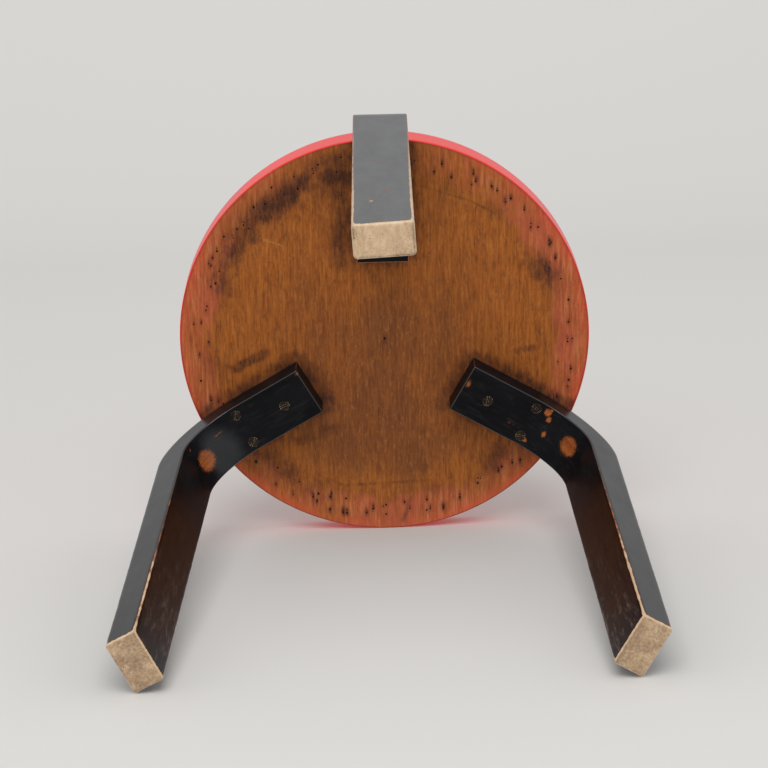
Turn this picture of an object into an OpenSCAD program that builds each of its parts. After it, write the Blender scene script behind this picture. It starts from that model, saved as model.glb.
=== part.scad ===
// Round three-legged stool with bent legs, standing upright on the floor.
// Z points up, the floor is at z = 0 and the Z axis is the seat's own axis.
// Millimetres and degrees.

/* [Seat] */
// Height of the top of the seat above the floor
seat_h = 440; // [400:1:470]
// Diameter of the round seat
seat_d = 350; // [330:1:390]
// Thickness of the seat, veneers included
seat_t = 30; // [26:0.5:34]
// Thickness of the face veneer on the top and on the underside
face_veneer_t = 1.5; // [1.3:0.1:2]
// Radial thickness of the band bent round the core
band_t = 4; // [2.5:0.5:8]
// Rounding of the seat's outer corners, in the face veneers
seat_corner_r = 1.2; // [0.5:0.1:1.2]
// Number of staves in the core
stave_count = 8; // [6:1:12]
// Direction of the grain in the face veneers, as an angle from X
face_grain_angle = 330; // [0:1:359]

/* [Legs] */
// Width of a leg
leg_w = 43.5; // [38:0.5:50]
// Thickness of a leg along its arm and round its bend
leg_t = 26; // [24:0.5:30]
// Thickness of a leg at its foot
foot_t = 25; // [22:0.5:26]
// Distance from the seat's axis to the inner end of an arm
arm_inner_r = 75; // [60:1:85]
// Distance from the seat's axis to the outer face of a leg at its bend
bend_outer_r = 211; // [200:1:225]
// Outside radius of the bend
bend_r = 74; // [64:1:76]
// Outward lean of the back leg
back_lean = 1.6; // [0:0.1:4]
// Outward lean of the front left leg
front_left_lean = 2.8; // [0:0.1:4]
// Outward lean of the front right leg
front_right_lean = 0.8; // [0:0.1:4]

/* [Bend veneers] */
// Number of saw kerfs, each filled by one veneer
kerf_count = 5; // [3:1:6]
// Thickness of a kerf and of the veneer glued in it
kerf_t = 1.6; // [1:0.1:2]
// Length of a kerf below the end of the bend
kerf_reach = 45; // [20:1:80]

/* [Screws] */
// Diameter of a countersunk head
screw_head_d = 9; // [8:0.1:10]
// Depth of the cone under a head
screw_cone_h = 2.6; // [2:0.1:3]
// Diameter over the shank
screw_shank_d = 4.6; // [4:0.1:5]
// Length of a screw over its head
screw_l = 44; // [38:1:48]
// Length of the point
screw_point_l = 5; // [3:0.5:8]
// Width of the slot
screw_slot_w = 1.1; // [0.8:0.1:1.5]
// Depth of the slot
screw_slot_depth = 1.2; // [0.8:0.1:1.5]
// Distance from the seat's axis to the single inner screw
inner_screw_r = 100; // [92:1:110]
// Distance from the seat's axis to the outer pair of screws
outer_screw_r = 140; // [126:1:142]
// Distance of each outer screw from the leg's middle line
outer_screw_offset = 14; // [10:0.5:16]

/* [Hidden] */
$fn = 96;
seat_r = seat_d / 2;
core_r = seat_r - band_t;
underside_z = seat_h - seat_t;
core_z = underside_z + face_veneer_t;
core_t = seat_t - 2 * face_veneer_t;
stave_w = 2 * core_r / stave_count;

bend_centre_r = bend_outer_r - bend_r;
bend_centre_z = underside_z - bend_r;
arm_face_z = underside_z - leg_t;
finger_t = (leg_t - kerf_count * kerf_t) / (kerf_count + 1);
// Distance below the bend at which a leg starts to thin towards its foot
taper_start = 1;
// A straight stretch is this much thinner on each side than the bend that it runs into
joint_inset = 0.01;
// and reaches this far into it
joint_overlap = 1;

leg_names = ["back", "front_left", "front_right"];
leg_angles = [90, 210, 330];
leg_leans = [back_lean, front_left_lean, front_right_lean];
LEGS = [0 : len(leg_names) - 1];

screw_names = ["inner", "left", "right"];
screw_places = [
    [inner_screw_r, 0],
    [outer_screw_r, outer_screw_offset],
    [outer_screw_r, -outer_screw_offset]
];
SCREWS = [0 : len(screw_names) - 1];
// Depth by which a countersink opens below the face of an arm
sink_clearance = 3;
// Turn of each slot, spread so that no two slots of a leg line up
slot_turn_step = 67;

// ---- Screws ----

// Outline of a screw as a solid of revolution, its head's face at z = 0 and its point upwards
module screw_outline() {
    cylinder(h = screw_cone_h, d1 = screw_head_d, d2 = screw_shank_d);
    cylinder(h = screw_l - screw_point_l, d = screw_shank_d);
    translate([0, 0, screw_l - screw_point_l])
        cylinder(h = screw_point_l, d1 = screw_shank_d, d2 = 0.5);
}

// Moves its children to one leg's own direction
module at_leg(k) {
    rotate([0, 0, leg_angles[k]]) children();
}

// Moves its children to one screw's head on the face of an arm
module at_screw(k, j) {
    at_leg(k) translate([screw_places[j][0], screw_places[j][1], arm_face_z]) children();
}

// The space that one screw takes up in the pieces it passes through
module screw_space(k, j) {
    at_screw(k, j) {
        screw_outline();
        translate([0, 0, -sink_clearance])
            cylinder(h = sink_clearance, d = screw_head_d);
    }
}

module leg_screw_spaces(k) {
    for (j = SCREWS) screw_space(k, j);
}

module all_screw_spaces() {
    for (k = LEGS) leg_screw_spaces(k);
}

module screw(k, j) {
    color([0.20, 0.17, 0.15])
    at_screw(k, j)
    difference() {
        screw_outline();
        rotate([0, 0, slot_turn_step * (3 * k + j)])
            translate([-screw_head_d, -screw_slot_w / 2, -1])
                cube([2 * screw_head_d, screw_slot_w, 1 + screw_slot_depth]);
    }
}

// ---- Seat ----

// Half section of a face veneer whose lower outer corner is rounded
module face_section() {
    intersection() {
        square([seat_r, face_veneer_t]);
        union() {
            square([seat_r - seat_corner_r, face_veneer_t]);
            translate([0, seat_corner_r]) square([seat_r, face_veneer_t]);
            translate([seat_r - seat_corner_r, seat_corner_r]) circle(seat_corner_r);
        }
    }
}

// Veneer disc over the core and the band, its rounded corner at the bottom
module face_disc() {
    rotate_extrude() face_section();
}

module seat_top_veneer() {
    color([0.78, 0.16, 0.15])
    translate([0, 0, seat_h]) mirror([0, 0, 1]) face_disc();
}

module seat_underside_veneer() {
    color([0.63, 0.34, 0.18])
    difference() {
        translate([0, 0, underside_z]) face_disc();
        all_screw_spaces();
    }
}

// Band bent round the core, between the two face veneers
module seat_edge_band() {
    color([0.86, 0.24, 0.23])
    translate([0, 0, core_z])
        difference() {
            cylinder(h = core_t, r = seat_r);
            translate([0, 0, -1]) cylinder(h = core_t + 2, r = core_r);
        }
}

// One stave of the core, laid across the grain of the face veneers
module core_stave(i) {
    color([0.80, 0.66, 0.45])
    difference() {
        intersection() {
            translate([0, 0, core_z]) cylinder(h = core_t, r = core_r);
            rotate([0, 0, face_grain_angle + 90])
                translate([-core_r, (i - 1) * stave_w - core_r, core_z])
                    cube([2 * core_r, stave_w, core_t]);
        }
        all_screw_spaces();
    }
}

// ---- Legs ----
// A leg's side view is drawn with x as the distance from the seat's axis and y as the height.
// A layer lies at a depth below the leg's outer face and follows it all the way.

// Flat stretch of a layer under the seat
module arm_layer(depth, t) {
    translate([arm_inner_r, underside_z - depth - t])
        square([bend_centre_r - arm_inner_r, t]);
}

// Stretch of a layer round the bend, which turns 90 degrees less the lean
module bend_layer(depth, t, lean) {
    reach = 2 * bend_r;
    translate([bend_centre_r, bend_centre_z])
        intersection() {
            difference() {
                circle(bend_r - depth);
                circle(bend_r - depth - t);
            }
            polygon([[0, 0], reach * [cos(lean), sin(lean)], [reach, reach], [0, reach]]);
        }
}

// Moves its children to the bend's centre, and turns them so that the straight part runs along -y
module at_bend(lean) {
    translate([bend_centre_r, bend_centre_z]) rotate(lean) children();
}

// Stretch of a layer down from the bend, let into the bend at its upper end
module shank_layer(depth, t, length, lean) {
    at_bend(lean) translate([bend_r - depth - t + joint_inset, -length])
        square([t - 2 * joint_inset, length + joint_overlap]);
}

// Where the floor lies in the turned frame of the straight part
function floor_y(x, lean) = -(bend_centre_z + x * sin(lean)) / cos(lean);

// Side view of the straight part, tapered on its inner face and cut level with the floor
module shank_section(lean) {
    inner_x = bend_r - leg_t;
    foot_x = bend_r - foot_t;
    difference() {
        shank_layer(0, leg_t, seat_h, lean);
        at_bend(lean) polygon([
            [inner_x, -taper_start],
            [foot_x, floor_y(foot_x, lean)],
            [foot_x, -seat_h],
            [inner_x - 1, -seat_h],
            [inner_x - 1, -taper_start]
        ]);
        translate([0, -seat_h]) square([seat_h, seat_h]);
    }
}

// Side view of one kerf and of the veneer in it, counted from the outer face
module kerf_section(i, lean) {
    depth = i * finger_t + (i - 1) * kerf_t;
    arm_layer(depth, kerf_t);
    bend_layer(depth, kerf_t, lean);
    shank_layer(depth, kerf_t, kerf_reach, lean);
}

// Turns a side view into a piece as wide as a leg
module across_leg() {
    rotate([90, 0, 0]) linear_extrude(leg_w, center = true) children();
}

// Solid birch leg, sawn into fingers along its arm and bend
module leg(k) {
    color([0.13, 0.12, 0.12])
    difference() {
        at_leg(k) across_leg() difference() {
            union() {
                arm_layer(0, leg_t);
                bend_layer(0, leg_t, leg_leans[k]);
                shank_section(leg_leans[k]);
            }
            for (i = [1 : kerf_count]) kerf_section(i, leg_leans[k]);
        }
        leg_screw_spaces(k);
    }
}

// Thin veneer glued into one kerf and bent with the leg
module bend_veneer(k, i) {
    color([0.72, 0.58, 0.40])
    difference() {
        at_leg(k) across_leg() kerf_section(i, leg_leans[k]);
        leg_screw_spaces(k);
    }
}

seat_top_veneer();
seat_underside_veneer();
seat_edge_band();
for (i = [1 : stave_count])
    core_stave(i);
for (k = LEGS)
    leg(k);
for (k = LEGS) for (i = [1 : kerf_count])
    bend_veneer(k, i);
for (k = LEGS) for (j = SCREWS)
    screw(k, j);
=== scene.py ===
"""Looks of a worn bentwood stool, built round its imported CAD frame.

The stool has a red seat with a varnished underside, and three black legs that are each held by
three slotted screws. Lengths are in metres. Z is the seat's axis, and the stool stands on Z = 0.
A leg's own frame is (out, across, up): the distance from the seat's axis, the distance from the
leg's middle plane, and the height.
"""

import math
from collections import namedtuple

import bmesh
import bpy
import numpy as np
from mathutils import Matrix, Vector
from mathutils.geometry import delaunay_2d_cdt


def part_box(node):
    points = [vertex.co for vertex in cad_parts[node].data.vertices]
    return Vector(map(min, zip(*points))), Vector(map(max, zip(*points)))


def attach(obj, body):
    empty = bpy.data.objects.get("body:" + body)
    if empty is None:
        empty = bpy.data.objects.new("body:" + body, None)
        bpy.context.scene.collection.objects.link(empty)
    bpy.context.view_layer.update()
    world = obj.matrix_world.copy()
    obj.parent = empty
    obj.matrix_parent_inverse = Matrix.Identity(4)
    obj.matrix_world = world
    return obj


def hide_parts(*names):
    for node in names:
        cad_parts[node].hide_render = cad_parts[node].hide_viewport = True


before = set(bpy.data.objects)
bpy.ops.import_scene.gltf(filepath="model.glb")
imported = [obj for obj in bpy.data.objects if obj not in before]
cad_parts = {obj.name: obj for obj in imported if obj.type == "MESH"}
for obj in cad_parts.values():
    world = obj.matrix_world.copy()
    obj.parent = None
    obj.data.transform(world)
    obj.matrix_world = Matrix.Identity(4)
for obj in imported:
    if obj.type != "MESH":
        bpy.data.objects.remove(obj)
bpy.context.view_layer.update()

# ---- Driving values ----

MM = 0.001
GRAIN = 330  # direction of the veneers' grain, in degrees from X

BEND_OUTER = 211 * MM
BEND_R = 74 * MM
FOOT_T = 25 * MM
BAND_T = 4 * MM
SEAT_CORNER = 1.2 * MM
JOINT_BEVEL = 0.1 * MM

# A mark on a leg: its middle along and across the leg, its half sizes, its strength, and its
# face, or a polished spot of the inner face that is glossier and painted with a grey sheen
Mark = namedtuple("Mark", "along across long wide strength face", defaults=["inner"])
# A leg: its place round the seat, its lean and twist in degrees, how dirty its foot is and how
# much painted shade darkens it, and how much further than the others its arrises are rubbed
Leg = namedtuple("Leg", "name angle lean twist soil rubbed slots marks")
LEGS = (
    Leg("back", 90, 1.6, 0, 1.2, 0.0, {"inner": 340, "left": 70, "right": 105}, (
        Mark(133, -3, 15, 8, 0.8), Mark(82, -16, 4.5, 3.2, 0.95),
        Mark(85, -18.5, 1.6, 1.4, 1.5), Mark(88, -11, 3.2, 2.2, 1.1),
        Mark(92, 2, 2.4, 3, 1.0), Mark(73, 15.5, 4, 1.8, 1.1),
        Mark(3, -6, 1.8, 3.6, 0.75), Mark(52, 4, 9, 0.5, 0.4),
        Mark(56, 8, 7, 0.6, 0.4),
    )),
    Leg("front_left", 210, 2.8, -3, 1.0, 0.0, {"inner": 35, "left": 335, "right": 0}, (
        Mark(112, -6, 26, 20, 0.45, "polish"), Mark(137, -1, 16, 9, 0.8),
        Mark(106, 7, 14, 0.7, 0.55), Mark(100, 10, 11, 0.7, 0.5),
        Mark(1, 19, 1.6, 1.6, 0.7), Mark(153, 17, 2, 1.4, 0.7),
    )),
    Leg("front_right", 330, 0.8, 3, 0.2, 0.3, {"inner": 15, "left": 290, "right": 50}, (
        Mark(330, 0, 0.9, 24, 0.55, "outer"), Mark(425, 2.5, 3.5, 2.5, 0.6, "outer"),
        Mark(452, -7.5, 1.7, 1.7, 1.3, "outer"), Mark(135, 2, 10, 6, 0.7),
    )),
)
SCREWS = ("inner", "left", "right")

# ---- Sizes and places taken from the frame ----

SEAT_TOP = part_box("seat_top_veneer")[1].z
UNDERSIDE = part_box("seat_underside_veneer")[0].z
SEAT_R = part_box("seat_underside_veneer")[1].x
CORE_R = SEAT_R - BAND_T
VENEER_T = SEAT_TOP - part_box("seat_top_veneer")[0].z
SCREW_LOW, SCREW_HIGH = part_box("screw_back_inner")
ARM_FACE = SCREW_LOW.z
SCREW_L = SCREW_HIGH.z - ARM_FACE
HEAD_R = (SCREW_HIGH.x - SCREW_LOW.x) / 2
LEG_LOW, LEG_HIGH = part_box("leg_back")
ARM_INNER = LEG_LOW.y
LEG_W = LEG_HIGH.x - LEG_LOW.x
LEG_T = UNDERSIDE - ARM_FACE
BEND_X = BEND_OUTER - BEND_R
BEND_Z = UNDERSIDE - BEND_R
ARM_L = BEND_X - ARM_INNER


def direction(angle):
    """Unit vector in the floor's plane, at an angle in degrees from X."""
    turn = math.radians(angle)
    return np.array([math.cos(turn), math.sin(turn), 0.0])


def leg_axes(angle):
    """Directions out, across and up of the leg at that angle."""
    return np.stack([direction(angle), direction(angle + 90), (0.0, 0.0, 1.0)])


def to_leg_frame(points, angle):
    """Points in the (out, across, up) frame of the leg at that angle."""
    return points @ leg_axes(angle).T


def from_leg_frame(points, angle):
    """Points of a leg's (out, across, up) frame in the stool's frame."""
    return points @ leg_axes(angle)


# ---- Repeatable noise ----

def lattice(cells, seed):
    """Repeatable numbers from -1 to 1 at whole-number cells."""
    mixed = cells[:, 0] * 374761393 + cells[:, 1] * 668265263 + cells[:, 2] * 1440662683
    mixed = (mixed + seed * 1013904223) & 0xFFFFFFFF
    mixed = ((mixed ^ (mixed >> 13)) * 1274126177) & 0xFFFFFFFF
    return ((mixed ^ (mixed >> 16)) & 0xFFFF) / 32767.5 - 1.0


def noise(points, size, seed=0):
    """Smooth noise from -1 to 1, its features one length or three in size."""
    scaled = points / np.array(size)
    cell = np.floor(scaled).astype(np.int64)
    part = scaled - cell
    part = part * part * (3 - 2 * part)
    total = np.zeros(len(points))
    for corner in np.ndindex(2, 2, 2):
        weight = np.prod(np.where(np.array(corner) == 1, part, 1 - part), axis=1)
        total += weight * lattice(cell + np.array(corner), seed)
    return total


def rough_noise(points, size, seed=0, octaves=3):
    """Noise with finer and weaker noise added to it."""
    total = sum(noise(points, np.array(size) / 2 ** k, seed + k) / 2 ** k for k in range(octaves))
    return total / 1.5


def hollows(points, size, seed, depth):
    """Uneven hollows, from nothing to about twice that depth."""
    return depth * np.maximum(1 + rough_noise(points, size, seed), 0)


def rise(value, low, high):
    """Smooth step from 0 at low to 1 at high, either way round."""
    part = np.clip((value - low) / (high - low), 0, 1)
    return part * part * (3 - 2 * part)


def bump_at(value, middle, spread):
    """Bell curve round a middle value."""
    return np.exp(-((value - middle) / spread) ** 2)


def segment_distance(points, start, end):
    """Distance in a plane from each point to a straight segment."""
    start, along = np.array(start, float), np.subtract(end, start)
    part = np.clip(((points - start) @ along) / (along @ along), 0, 1)
    return np.linalg.norm(points - start - part[:, None] * along, axis=1)


# ---- Mesh helpers ----

CORNERS = ((-1, -1), (1, -1), (1, 1), (-1, 1))


def link_object(name, data):
    """New object in the scene for a mesh, a light or a camera."""
    obj = bpy.data.objects.new(name, data)
    bpy.context.scene.collection.objects.link(obj)
    return obj


def smooth(mesh):
    """Shades a mesh smooth."""
    mesh.polygons.foreach_set("use_smooth", [True] * len(mesh.polygons))


def new_mesh(name, points, faces):
    """Mesh data from points and faces."""
    mesh = bpy.data.meshes.new(name)
    mesh.from_pydata([tuple(p) for p in points], [], faces)
    return mesh


def make_object(name, points, faces):
    """New smooth closed object, its faces turned outwards."""
    mesh = new_mesh(name, points, faces)
    edit = bmesh.new()
    edit.from_mesh(mesh)
    bmesh.ops.recalc_face_normals(edit, faces=edit.faces)
    edit.to_mesh(mesh)
    edit.free()
    smooth(mesh)
    return link_object(name, mesh)


def mesh_points(obj):
    """The vertices of an object that sits at the origin."""
    flat = np.zeros(len(obj.data.vertices) * 3, np.float32)
    obj.data.vertices.foreach_get("co", flat)
    return flat.reshape(-1, 3).astype(float)


def move_points(obj, points):
    """Puts the vertices of an object at these points."""
    obj.data.vertices.foreach_set("co", points.astype(np.float32).ravel())
    obj.data.update()


def from_axis(points):
    """Distance of each point from the Z axis."""
    return np.hypot(points[:, 0], points[:, 1])


def lying(flat):
    """Places in a plane as points at height 0."""
    return np.concatenate([flat, np.zeros((len(flat), 1))], 1)


def set_attributes(obj, **values):
    """Stores numbers or vectors for the vertices by name."""
    for name, value in values.items():
        kind, part = ("FLOAT_VECTOR", "vector") if value.ndim == 2 else ("FLOAT", "value")
        layer = obj.data.attributes.new(name, kind, "POINT")
        layer.data.foreach_set(part, value.astype(np.float32).ravel())


def cut(obj, cutter, sharp_angle=50):
    """Cuts an object's mesh, and removes the cutter."""
    modifier = obj.modifiers.new("cut", "BOOLEAN")
    modifier.operation = "DIFFERENCE"
    modifier.solver = "EXACT"
    modifier.object = cutter
    depsgraph = bpy.context.evaluated_depsgraph_get()
    result = bpy.data.meshes.new_from_object(obj.evaluated_get(depsgraph))
    obj.modifiers.clear()
    obj.data = result
    smooth(result)
    result.set_sharp_from_angle(angle=math.radians(sharp_angle))
    bpy.data.objects.remove(cutter)


def ring_faces(low, high, around):
    """Faces between two closed rings that start at points low and high."""
    return [(low + j, low + (j + 1) % around, high + (j + 1) % around, high + j)
            for j in range(around)]


def grid_faces(rings, around):
    """Faces between closed rings that lie one after another."""
    return [face for i in range(rings - 1)
            for face in ring_faces(i * around, (i + 1) * around, around)]


def end_faces(rings, around):
    """The two faces that close a stack of rings."""
    return [tuple(range(around)), tuple(range((rings - 1) * around, rings * around))]


def lathe(name, profile, around, closed=False):
    """Turns (radius, height) points round Z. An open profile is capped at both ends."""
    points = [p for r, z in profile for p in circle(r, z, around)]
    rings = len(profile)
    faces = grid_faces(rings, around)
    faces += ring_faces((rings - 1) * around, 0, around) if closed else end_faces(rings, around)
    return make_object(name, points, faces)


def circle(radius, height, around):
    """Points of a level circle round the Z axis."""
    turns = np.arange(around) * 2 * math.pi / around
    return [(radius * math.cos(t), radius * math.sin(t), height) for t in turns]


def arc(centre, radius, start, end, steps):
    """Points of an arc in a plane, between two angles in degrees."""
    turns = np.radians(np.linspace(start, end, steps + 1))
    return [(centre[0] + radius * math.cos(t), centre[1] + radius * math.sin(t)) for t in turns]


# ---- Materials ----

def srgb(red, green, blue):
    """Linear colour of an 8-bit screen colour."""
    linear = [c / 255 / 12.92 if c < 10.31 else ((c / 255 + 0.055) / 1.055) ** 2.4
              for c in (red, green, blue)]
    return (*linear, 1.0)


class Nodes:
    """Short calls that build one material."""

    def __init__(self, name, **constants):
        self.material = bpy.data.materials.new(name)
        self.material.use_nodes = True
        self.tree = self.material.node_tree
        self.shader = self.tree.nodes["Principled BSDF"]
        for socket, value in constants.items():
            self.shader.inputs[socket.replace("_", " ")].default_value = value

    def add(self, kind, inputs, **settings):
        """Adds a node with its inputs and settings."""
        node = self.tree.nodes.new("ShaderNode" + kind)
        for key, value in settings.items():
            setattr(node, key, value)
        for key, value in inputs.items():
            self.link(value, node.inputs[key])
        return node

    def link(self, value, socket):
        """Links a socket's output, or sets a constant."""
        if isinstance(value, bpy.types.NodeSocket):
            self.tree.links.new(value, socket)
        else:
            socket.default_value = value

    def place(self, turn=0.0):
        """The object's own coordinates, turned back about Z."""
        here = self.add("TexCoord", {}).outputs["Object"]
        turned = self.add("Mapping", {"Vector": here, "Rotation": (0, 0, -math.radians(turn))})
        return turned.outputs[0]

    def scaled(self, vector, stretch):
        """A vector with each part scaled."""
        return self.add("Mapping", {"Vector": vector, "Scale": stretch}).outputs[0]

    def noise(self, vector, scale, detail, roughness=0.5):
        """Noise from 0 to 1."""
        return self.add("TexNoise", {"Vector": vector, "Scale": scale, "Detail": detail,
                                     "Roughness": roughness}).outputs["Fac"]

    def noises(self, here, *kinds):
        """Noises, each with its stretch, scale, detail and roughness."""
        return [self.noise(self.scaled(here, stretch), *rest) for stretch, *rest in kinds]

    def attribute(self, name, output="Fac"):
        """A number stored on the mesh, or a vector."""
        return self.add("Attribute", {}, attribute_name=name).outputs[output]

    def math(self, operation, first, second=0.0, clamp=False):
        """One sum on two numbers."""
        return self.add("Math", {0: first, 1: second}, operation=operation,
                        use_clamp=clamp).outputs[0]

    def step(self, value, low, high):
        """Smooth step from 0 at low to 1 at high."""
        return self.add("MapRange", {"Value": value, "From Min": low, "From Max": high},
                        interpolation_type="SMOOTHSTEP").outputs[0]

    def span(self, value, low, high):
        """A number from 0 to 1 spread between two others."""
        return self.add("MapRange", {"Value": value, "To Min": low, "To Max": high}).outputs[0]

    def mix(self, factor, under, over):
        """Mixes two colours, each a socket or an 8-bit screen colour."""
        under, over = (srgb(*c) if isinstance(c, tuple) else c for c in (under, over))
        return self.add("Mix", {0: factor, 6: under, 7: over}, data_type="RGBA").outputs[2]

    def tint(self, under, colour, value, low, high, strength=None):
        """Lays a colour over another as a value rises from low to high."""
        factor = self.step(value, low, high)
        if strength is not None:
            factor = self.math("MULTIPLY", factor, strength)
        return self.mix(factor, under, colour)

    def frayed(self, name, noise, amount):
        """A number stored on the mesh, made uneven by noise either way."""
        return self.math("ADD", self.attribute(name), self.span(noise, -amount, amount))

    def ramp(self, value, *stops):
        """8-bit screen colours at given places from 0 to 1."""
        ramp = self.add("ValToRGB", {"Fac": value})
        elements = ramp.color_ramp.elements
        while len(elements) < len(stops):
            elements.new(0.5)
        for element, (place, colour) in zip(elements, stops):
            element.position = place
            element.color = srgb(*colour)
        return ramp.outputs["Color"]

    def bump(self, height, distance, strength, under=None):
        """Adds relief to the surface, on top of any relief under it."""
        inputs = {"Height": height, "Distance": distance, "Strength": strength}
        if under is not None:
            inputs["Normal"] = under
        return self.add("Bump", inputs).outputs[0]

    def finish(self, **links):
        """Links the shader's inputs and gives the material."""
        for socket, value in links.items():
            self.link(value, self.shader.inputs[socket.replace("_", " ")])
        return self.material


def underside_material():
    """Orange-brown varnished veneer with red stain, grimy marks, tack holes and a painted rim.
    Painted shade darkens it beside the arms and in the tack holes.
    """
    n = Nodes("varnished_veneer")
    fine, streak, blotch, mottle, dust = n.noises(
        n.place(GRAIN), ((0.09, 1, 1), 760, 3, 0.6), ((0.1, 1, 1), 420, 5, 0.72),
        ((0.6, 1, 1), 24, 4, 0.6), ((0.55, 1, 1), 190, 5, 0.7), ((0.3, 1, 1), 560, 4, 0.7))

    amber = n.ramp(streak, (0.3, (132, 70, 24)), (0.5, (154, 86, 32)), (0.72, (178, 105, 44)))
    brown = n.ramp(streak, (0.3, (106, 58, 28)), (0.5, (120, 68, 33)), (0.72, (136, 80, 42)))
    wood = n.tint(amber, brown, n.frayed("brown", blotch, 0.75), 0.1, 0.9)
    wood = n.tint(wood, (106, 56, 28), mottle, 0.48, 0.7, 0.45)
    wood = n.tint(wood, (72, 38, 20), fine, 0.5, 0.7, 0.4)
    wood = n.tint(wood, (190, 122, 60), dust, 0.52, 0.7, 0.32)

    stain = n.ramp(streak, (0.3, (140, 64, 38)), (0.5, (176, 90, 56)), (0.74, (212, 134, 94)))
    stain = n.tint(stain, (184, 84, 62), blotch, 0.45, 0.65, 0.6)
    wood = n.tint(wood, stain, n.frayed("red", mottle, 0.8), 0.1, 1.1, 0.85)
    wood = n.tint(wood, (208, 80, 54), n.frayed("bleed", dust, 0.45), 0.3, 1.0, 0.5)

    wood = n.tint(wood, (190, 136, 84), n.frayed("pale", dust, 0.5), 0.4, 0.9, 0.6)
    # Grimy marks, with painted shade beside the arms.
    wood = n.tint(wood, (66, 36, 28), n.frayed("grime", mottle, 0.8), 0.0, 1.15, 0.7)
    wood = n.tint(wood, (36, 27, 22), n.frayed("grime", dust, 1.5), 0.5, 1.5, 0.7)
    # Painted shade: the tack holes and the pin hole are painted near black.
    wood = n.mix(n.attribute("hole"), wood, (12, 8, 7))
    wood = n.mix(n.attribute("line"), wood, (96, 26, 24))
    wood = n.mix(n.attribute("coat"), wood, (232, 44, 40))

    gloss = n.math("ADD", n.span(streak, 0.45, 0.6), n.math("MULTIPLY", n.attribute("grime"), 0.2))
    shine = n.span(n.attribute("coat"), 0.14, 0.4)
    relief = n.bump(fine, 0.04 * MM, 0.5)
    relief = n.bump(streak, 0.08 * MM, 0.5, relief)
    return n.finish(Base_Color=wood, Roughness=gloss, Specular_IOR_Level=shine, Normal=relief)


def red_paint_material():
    """Thick red paint with brush marks, dulled and rubbed thin by use."""
    n = Nodes("red_paint", Coat_Weight=0.25, Coat_Roughness=0.3, Specular_IOR_Level=0.4)
    cloud = n.noise(n.place(), 22, 3, 0.55)
    speck = n.noise(n.place(), 700, 3, 0.6)
    brush = n.noise(n.scaled(n.place(GRAIN), (0.06, 1, 1)), 420, 3, 0.6)
    scuff = n.noise(n.scaled(n.place(GRAIN + 35), (0.12, 1, 1)), 160, 5, 0.7)

    paint = n.ramp(cloud, (0.3, (228, 40, 38)), (0.7, (240, 50, 46)))
    paint = n.tint(paint, (206, 32, 34), brush, 0.6, 0.8, 0.25)
    paint = n.tint(paint, (236, 100, 90), scuff, 0.66, 0.74, 0.2)
    aged = n.math("MULTIPLY", n.attribute("aged"), n.span(cloud, 0.6, 1.0))
    paint = n.mix(aged, paint, (158, 36, 34))
    rubbed = n.math("ADD", n.attribute("rubbed"), n.span(scuff, -0.7, 0.5))
    paint = n.tint(paint, (160, 30, 30), rubbed, 0.45, 0.62)
    paint = n.tint(paint, (186, 128, 84), rubbed, 0.75, 0.85)
    worn = n.math("MULTIPLY", n.step(scuff, 0.6, 0.75), 0.15)
    gloss = n.math("ADD", n.span(cloud, 0.36, 0.46), worn)
    relief = n.bump(brush, 0.05 * MM, 0.6)
    relief = n.bump(speck, 0.02 * MM, 0.4, relief)
    return n.finish(Base_Color=paint, Roughness=gloss, Normal=relief)


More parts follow.
